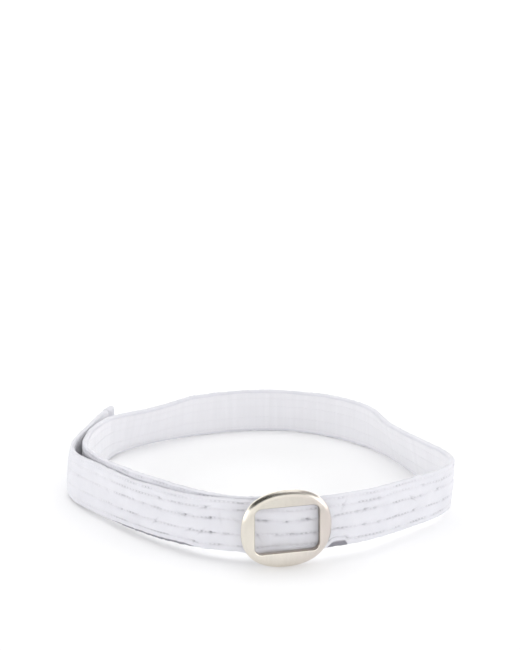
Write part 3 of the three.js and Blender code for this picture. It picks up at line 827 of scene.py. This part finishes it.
def upright_stitches(name, S_list, w0, vlo, vhi, pitch=3.0, wfun=None):
    rings, sides = 6, 6
    ang = np.arange(sides) * 2 * np.pi / sides
    frac = np.array([0.03, 0.16, 0.36, 0.64, 0.84, 0.97])
    rad = np.array([0.16, 0.25, 0.28, 0.28, 0.25, 0.16])
    arch = np.array([-0.34, 0.0, 0.15, 0.15, 0.0, -0.34])
    V, F, U = [], [], []
    base = 0
    for S0 in S_list:
        for side in ((1, -1) if isinstance(w0, float) else (w0[1],)):
            level = w0 if isinstance(w0, float) else w0[0]
            for c in np.arange(vlo + pitch / 2, vhi, pitch):
                v = c + (frac - 0.5) * pitch
                ww = side * (level + arch)
                P = place(S0 + (np.cos(ang)[None] * rad[:, None]), ww[:, None] + np.sin(ang)[None] * rad[:, None], v[:, None] + 0 * ang[None])
                V.append(P.reshape(-1, 3))
                U.append(np.stack(np.broadcast_arrays(v[:, None] * MM, ang[None] / 6.2832), -1).reshape(-1, 2))
                q = np.array(tube_faces(rings, sides)) + base
                f = q.tolist()
                f.append([base + j for j in range(sides)][::-1])
                f.append([base + (rings - 1) * sides + j for j in range(sides)])
                c0 = P.reshape(-1, 3).mean(0)
                Q = P.reshape(-1, 3)
                f0 = [x - base for x in f[0]]
                if np.dot(np.cross(Q[f0[1]] - Q[f0[0]], Q[f0[2]] - Q[f0[0]]), Q[f0[0]] - c0) < 0:
                    f = [x[::-1] for x in f]
                F.extend(f)
                base += rings * sides
    return mesh_from(name, np.vstack(V), F, [thread_mat], uv=np.vstack(U))


e2 = upright_stitches("tail_hem_stitches", [S_HEM + 3.0, S_HEM + 9.6], T / 2 + 0.15 + 0.62 - 0.2, 2.0, W - 2.0)
dress(e2, ["tail_hem_stitch"], body="tail_end")

# ------------------------------------------------------------ fold round bar
PHI = math.radians(6.0)
CENTRE = np.array([2.5, -28.8]) - SHIFT
R_BAR = 130 - 4.5 - 0.4 - 3.4


def arc_point(u, w):
    a = PHI + u / R_BAR
    r = R_BAR + w
    return np.stack([CENTRE[0] + r * np.sin(a), CENTRE[1] - r * np.cos(a)], -1)


def build_fold():
    """The fixed end of the strap: one thickness of cloth turned round the centre bar."""
    mid = 2.6
    half = 0.72
    leg = np.linspace(-12.6, 0, 26)[:-1]
    a = np.linspace(np.pi / 2, -np.pi / 2, 29)
    cu = np.concatenate([leg, mid * np.cos(a), leg[::-1]])
    close = 1 - 0.32 * smoothstep((-leg - 3.5) / 6.0)
    cw = np.concatenate([mid * close, mid * np.sin(a), -(mid * close)[::-1]])
    du, dw = np.gradient(cu), np.gradient(cw)
    h = np.hypot(du, dw)
    nu, nw = -dw / h, du / h
    zz = np.linspace(0, 1, 61)
    z = LIFT + 0.4 + (W - 0.8) * zz
    n = len(cu)
    prof = []
    for a2 in np.linspace(-np.pi / 2, np.pi / 2, 7):
        prof.append((np.cos(a2), np.sin(a2)))
    rows = []
    pos = np.cumsum(np.concatenate([[0], np.hypot(np.diff(cu), np.diff(cw))]))
    # a closed section in (offset, z): outer side up, inner side down, rounded ends
    sec = [(half, zc) for zc in z[1:-1]] + [(half * np.cos(t), z[-1] - 0.6 + 0.6 * np.sin(t)) for t in np.linspace(0.2, np.pi - 0.2, 7)]
    sec += [(-half, zc) for zc in z[1:-1][::-1]] + [(-half * np.cos(t), z[0] + 0.6 - 0.6 * np.sin(t)) for t in np.linspace(0.2, np.pi - 0.2, 7)]
    sec = np.array(sec)
    off = sec[:, 0][None] + 0.06 * noise(pos[:, None] / 2.5, sec[:, 1][None] / 3.0, 81) * np.sign(sec[:, 0])[None]
    U = cu[:, None] + nu[:, None] * off
    Wd = cw[:, None] + nw[:, None] * off
    xy = arc_point(U, Wd)
    P = np.concatenate([xy, (sec[:, 1][None] + 0 * off)[..., None]], -1)
    uv = np.stack(np.broadcast_arrays(pos[:, None] * MM, sec[:, 1][None] * MM), -1).reshape(-1, 2)
    flip = not outward(P, False)
    return closed_tube("bar_fold_cloth", P, [cover_mat], uv=uv, flip=flip)


LIFT = 8.5
f1 = build_fold()
dress(f1, ["bar_fold"], body="strap_loop")


def fold_stitches():
    rings, sides = 6, 6
    ang = np.arange(sides) * 2 * np.pi / sides
    frac = np.array([0.03, 0.16, 0.36, 0.64, 0.84, 0.97])
    rad = np.array([0.14, 0.22, 0.25, 0.25, 0.22, 0.14])
    arch = np.array([-0.3, 0.0, 0.13, 0.13, 0.0, -0.3])
    V, F, U = [], [], []
    base = 0
    for u0, wl in ((-9.0, -2.62), (-11.2, -2.52)):
        for c in np.arange(LIFT + 3.5, LIFT + W - 3.0, 3.0):
            zc = c + (frac - 0.5) * 3.0
            u = u0 + np.cos(ang)[None] * rad[:, None]
            w = wl - arch[:, None] + np.sin(ang)[None] * rad[:, None]
            xy = arc_point(u, w)
            P = np.concatenate([xy, (zc[:, None] + 0 * u)[..., None]], -1)
            Q = P.reshape(-1, 3)
            f = np.array(tube_faces(rings, sides)).tolist()
            f.append(list(range(sides))[::-1])
            f.append([(rings - 1) * sides + j for j in range(sides)])
            c0 = Q.mean(0)
            if np.dot(np.cross(Q[f[0][1]] - Q[f[0][0]], Q[f[0][2]] - Q[f[0][0]]), Q[f[0][0]] - c0) < 0:
                f = [x[::-1] for x in f]
            F.extend([[x + base for x in y] for y in f])
            V.append(Q)
            U.append(np.stack(np.broadcast_arrays(zc[:, None] * MM, ang[None] / 6.2832), -1).reshape(-1, 2))
            base += rings * sides
    return mesh_from("bar_fold_stitches", np.vstack(V), F, [thread_mat], uv=np.vstack(U))


f2 = fold_stitches()
dress(f2, ["bar_fold_stitch"], body="strap_loop")

# ------------------------------------------------------------------- buckle
YAW = math.radians(15.0)
ACROSS = np.array([math.cos(YAW), math.sin(YAW), 0.0])
FRONT = np.array([math.sin(YAW), -math.cos(YAW), 0.0])
UP = np.array([0.0, 0.0, 1.0])
BAR = np.append(arc_point(0.0, 0.0), 28.0)
SETBACK = 10.9


def buckle_to_row(P):
    """Buckle coordinates (across, up, front from the plate's back) to the row frame."""
    return BAR + P[..., 0:1] * ACROSS + P[..., 1:2] * UP + (P[..., 2:3] + SETBACK) * FRONT


def build_plate():
    a, b, n = 32.7, 28.0, 2.3
    wa, wb, wr = 23.25, 16.5, 5.0
    count = 320
    th = np.linspace(0, 2 * np.pi, count, endpoint=False)
    # outer outline by direction
    dx, dy = np.cos(th), np.sin(th)
    r_out = (np.abs(dx / a) ** n + np.abs(dy / b) ** n) ** (-1 / n)
    # window outline by direction, a rounded rectangle found by marching
    lo, hi = np.zeros(count), np.full(count, 60.0)
    for _ in range(40):
        mid = (lo + hi) / 2
        x, y = np.abs(dx * mid), np.abs(dy * mid)
        qx, qy = x - (wa - wr), y - (wb - wr)
        d = np.hypot(np.maximum(qx, 0), np.maximum(qy, 0)) + np.minimum(np.maximum(qx, qy), 0) - wr
        inside = d < 0
        lo = np.where(inside, mid, lo)
        hi = np.where(inside, hi, mid)
    r_in = (lo + hi) / 2
    O = np.stack([dx * r_out, dy * r_out], 1)
    I = np.stack([dx * r_in, dy * r_in], 1)
    # local directions across the rail
    def inward(C):
        t = np.roll(C, -1, 0) - np.roll(C, 1, 0)
        t /= np.linalg.norm(t, axis=1)[:, None]
        return np.stack([-t[:, 1], t[:, 0]], 1)
    no, ni = inward(O), -inward(I)
    span = np.linalg.norm(O - I, axis=1)
    t0 = 4.5
    # section: (share of the way in from the outer wall, mm in from it, height, edge)
    prof = []
    ro, ri = 4.2, 0.9
    # outer wall, small round, a long shallow fall, then the face
    prof.append((0, 0.0, 0.6))
    prof.append((0, 0.0, 1.3))
    for k in np.linspace(0, math.radians(52), 6)[1:]:
        prof.append((0, 1.15 * (1 - math.cos(k)), 1.3 + 1.15 * math.sin(k)))
    prof.append((0, 0.80, 2.62))
    prof.append((0, 1.30, 3.12))
    prof.append((0, 1.90, 3.56))
    prof.append((0, 2.60, 3.92))
    prof.append((0, 3.40, 4.20))
    prof.append((0, ro, 4.36))
    prof.append((2, 0.35, t0))
    prof.append((2, 0.65, t0 - 0.02))
    for k in np.linspace(np.pi / 2, 0, 7):
        prof.append((1, ri * (1 - math.cos(k)), t0 - 0.12 - ri + ri * math.sin(k)))
    prof.append((1, 0.0, 0.5))
    prof.append((1, 0.15, 0.14))
    prof.append((1, 0.5, 0.0))
    prof.append((0, 0.6, 0.0))
    prof.append((0, 0.17, 0.17))
    rings = []
    for kind, d, z in prof:
        if kind == 0:
            xy = O + no * d
        elif kind == 1:
            xy = I + ni * d
        else:
            A, B = O + no * ro, I + ni * ri
            xy = A + (B - A) * d
        rings.append(np.concatenate([xy, np.full((count, 1), z)], 1))
    P = np.stack(rings, 1)                 # count x profile x 3
    cnt, m = P.shape[:2]
    V = buckle_to_row(P).reshape(-1, 3)
    i = np.arange(cnt)[:, None]
    j = np.arange(m)[None]
    q = np.stack([(i * m + j).ravel(), (i * m + (j + 1) % m).ravel(), (((i + 1) % cnt) * m + (j + 1) % m).ravel(), (((i + 1) % cnt) * m + j).ravel()], 1)
    A, B, C, D = (V[q[:, k]] for k in range(4))
    vol = np.einsum("ij,ij->i", A, np.cross(B, C)).sum() + np.einsum("ij,ij->i", A, np.cross(C, D)).sum()
    if vol < 0:
        q = q[:, ::-1]
    ob = mesh_from("buckle_plate", V, q.tolist(), [buckle_mat])
    # the across, rise and recess attributes carry the painted reflection tint across the plate, the painted shade
    # towards its top and the painted shade in the window's wall
    kinds = np.array([1.0 if kind == 1 and z < t0 - 0.25 else 0.0 for kind, d, z in prof])
    across = np.clip(P[..., 0] / (2 * a) + 0.5, 0, 1)
    recess = np.broadcast_to(kinds[None], across.shape)
    rise = np.clip(P[..., 1] / (2 * b) + 0.5, 0, 1)
    for att_name, val in (("across", across), ("rise", rise), ("recess", recess)):
        att = ob.data.attributes.new(att_name, "FLOAT", "POINT")
        att.data.foreach_set("value", np.ascontiguousarray(val, np.float32).ravel())
    return ob


g1 = build_plate()
dress(g1, ["buckle_frame"], body="buckle")


def rounded_block(name, lo, hi, r, mat, to_row, cut=None):
    """A block with rounded edges in local coordinates."""
    import bmesh
    bm = bmesh.new()
    bmesh.ops.create_cube(bm, size=1.0)
    lo, hi = np.array(lo, float), np.array(hi, float)
    for v in bm.verts:
        v.co = Vector(((np.array(v.co) + 0.5) * (hi - lo) + lo).tolist())
    bmesh.ops.bevel(bm, geom=list(bm.edges), offset=r, segments=3, profile=0.5, affect="EDGES")
    for v in bm.verts:
        v.co = Vector((to_row(np.array(v.co)[None])[0] * MM).tolist())
    bmesh.ops.recalc_face_normals(bm, faces=list(bm.faces))
    me = bpy.data.meshes.new(name)
    bm.to_mesh(me)
    bm.free()
    me.materials.append(mat)
    me.polygons.foreach_set("use_smooth", [True] * len(me.polygons))
    ob = bpy.data.objects.new(name, me)
    scene.collection.objects.link(ob)
    return ob


for tag, sgn in (("upper", 1), ("lower", -1)):
    z0, z1 = sorted((sgn * 20.0, sgn * 22.7))
    lug = rounded_block(f"buckle_lug_{tag}", (-4.5, z0, -14.1), (4.5, z1, 0.6), 0.8, buckle_mat, buckle_to_row)
    dress(lug, [], body="buckle")


def build_bar():
    count = 40
    th = np.linspace(0, 2 * np.pi, count, endpoint=False)
    prof = [(0.9, -22.3), (1.35, -22.15), (1.5, -21.8), (1.5, -10.0), (1.5, 0.0), (1.5, 10.0), (1.5, 21.8), (1.35, 22.15), (0.9, 22.3)]
    P = np.stack([np.stack([r * np.cos(th), r * np.sin(th), np.full(count, z)], 1) for r, z in prof], 0)
    P = P + BAR
    flip = not outward(P, False)
    return closed_tube("buckle_centre_bar", P, [bar_mat], flip=flip)


g2 = build_bar()
dress(g2, ["buckle_bar"], body="buckle")

# -------------------------------------------------------------- the setting
def plain(name, color, rough=0.9):
    m, nt, bsdf = new_mat(name)
    n = nt.nodes.new("ShaderNodeTexNoise")
    n.inputs["Scale"].default_value = 3.0
    nt.links.new(ramp(nt, n.outputs["Fac"], [(0.0, tuple(c * 0.995 for c in color)), (1.0, color)]), bsdf.inputs["Base Color"])
    bsdf.inputs["Roughness"].default_value = rough
    bsdf.inputs["Specular IOR Level"].default_value = 0.1
    return m


floor_me = bpy.data.meshes.new("floor")
# a floor that sweeps up into a far backdrop all round
rad = [0.0, 1.0, 3.0, 5.0, 6.0, 6.8, 7.3, 7.5]
hgt = [0.0, 0.0, 0.0, 0.0, 0.12, 0.6, 1.6, 4.0]
ringn = 64
verts = [(0.0, 0.0, -0.0002)]
for r, h in zip(rad[1:], hgt[1:]):
    for k in range(ringn):
        a = 2 * math.pi * k / ringn
        verts.append((r * math.cos(a), r * math.sin(a), h - 0.0002))
faces = [(0, 1 + k, 1 + (k + 1) % ringn) for k in range(ringn)]
for i in range(len(rad) - 2):
    for k in range(ringn):
        a = 1 + i * ringn + k
        b = 1 + i * ringn + (k + 1) % ringn
        faces.append((a, a + ringn, b + ringn, b))
floor_me.from_pydata(verts, [], faces)
floor_me.polygons.foreach_set("use_smooth", [True] * len(floor_me.polygons))
floor = bpy.data.objects.new("floor", floor_me)
scene.collection.objects.link(floor)
floor_mat = plain("paper_floor", (0.93, 0.93, 0.935))
# the far paper is lit on its own, as a studio sweep is
fnt = floor_mat.node_tree
ftc = fnt.nodes.new("ShaderNodeTexCoord")
flen = fnt.nodes.new("ShaderNodeVectorMath")
flen.operation = "LENGTH"
fnt.links.new(ftc.outputs["Object"], flen.inputs[0])
fmr = fnt.nodes.new("ShaderNodeMapRange")
fmr.interpolation_type = "SMOOTHSTEP"
fmr.inputs["From Min"].default_value = 0.55
fmr.inputs["From Max"].default_value = 3.0
fmr.inputs["To Min"].default_value = 0.0
fmr.inputs["To Max"].default_value = 1.0
fnt.links.new(flen.outputs["Value"], fmr.inputs["Value"])
fb = fnt.nodes["Principled BSDF"]
fb.inputs["Emission Color"].default_value = (1, 1, 1, 1)
# less light comes off the paper straight in front, where the metal would mirror it
fnv = fnt.nodes.new("ShaderNodeVectorMath")
fnv.operation = "NORMALIZE"
fnt.links.new(ftc.outputs["Object"], fnv.inputs[0])
fdot = fnt.nodes.new("ShaderNodeVectorMath")
fdot.operation = "DOT_PRODUCT"
fdot.inputs[1].default_value = (0.25, -0.968, 0.0)
fnt.links.new(fnv.outputs["Vector"], fdot.inputs[0])
fdim = fnt.nodes.new("ShaderNodeMapRange")
fdim.interpolation_type = "SMOOTHSTEP"
fdim.inputs["From Min"].default_value = 0.22
fdim.inputs["From Max"].default_value = 0.82
fdim.inputs["To Min"].default_value = 1.0
fdim.inputs["To Max"].default_value = 0.30
fnt.links.new(fdot.outputs["Value"], fdim.inputs["Value"])
fnt.links.new(math_node(fnt, "ADD", math_node(fnt, "MULTIPLY", fmr.outputs[0], fdim.outputs[0]), 0.06), fb.inputs["Emission Strength"])
floor_me.materials.append(floor_mat)


def softbox(name, loc, aim, size, power, color=(1, 1, 1)):
    d = bpy.data.lights.new(name, "AREA")
    d.shape = "RECTANGLE"
    d.size, d.size_y = size
    d.energy = power
    d.color = color
    o = bpy.data.objects.new(name, d)
    o.location = loc
    o.rotation_euler = (Vector(aim) - Vector(loc)).to_track_quat("-Z", "Y").to_euler()
    scene.collection.objects.link(o)
    return o


softbox("top_light", (0.0, 0.25, 1.9), (0, 0, 0), (2.4, 2.0), 18)
softbox("left_light", (-1.7, -0.9, 0.9), (0, 0, 0.03), (1.2, 1.3), 1.5)
softbox("right_light", (1.8, -0.7, 0.8), (0, 0, 0.03), (1.0, 1.2), 3.2)

front = softbox("front_fill", (0.25, -1.9, 0.80), (0, 0, 0.02), (1.1, 0.8), 6.0)
front.visible_glossy = False

world = bpy.data.worlds.new("studio")
scene.world = world
world.use_nodes = True
wn = world.node_tree
bg = wn.nodes["Background"]
tc = wn.nodes.new("ShaderNodeTexCoord")
vm = wn.nodes.new("ShaderNodeVectorMath")
vm.operation = "DOT_PRODUCT"
vm.inputs[1].default_value = (-0.25, -0.62, 0.744)
wn.links.new(tc.outputs["Generated"], vm.inputs[0])
wr = wn.nodes.new("ShaderNodeValToRGB")
wr.color_ramp.elements[0].position = 0.70
wr.color_ramp.elements[0].color = (1, 1, 1, 1)
wr.color_ramp.elements[1].position = 0.90
wr.color_ramp.elements[1].color = (0.09, 0.09, 0.085, 1)
wn.links.new(vm.outputs["Value"], wr.inputs["Fac"])
wn.links.new(wr.outputs["Color"], bg.inputs["Color"])
bg.inputs["Strength"].default_value = 0.50
scene.view_settings.view_transform = "Standard"
scene.view_settings.look = "None"
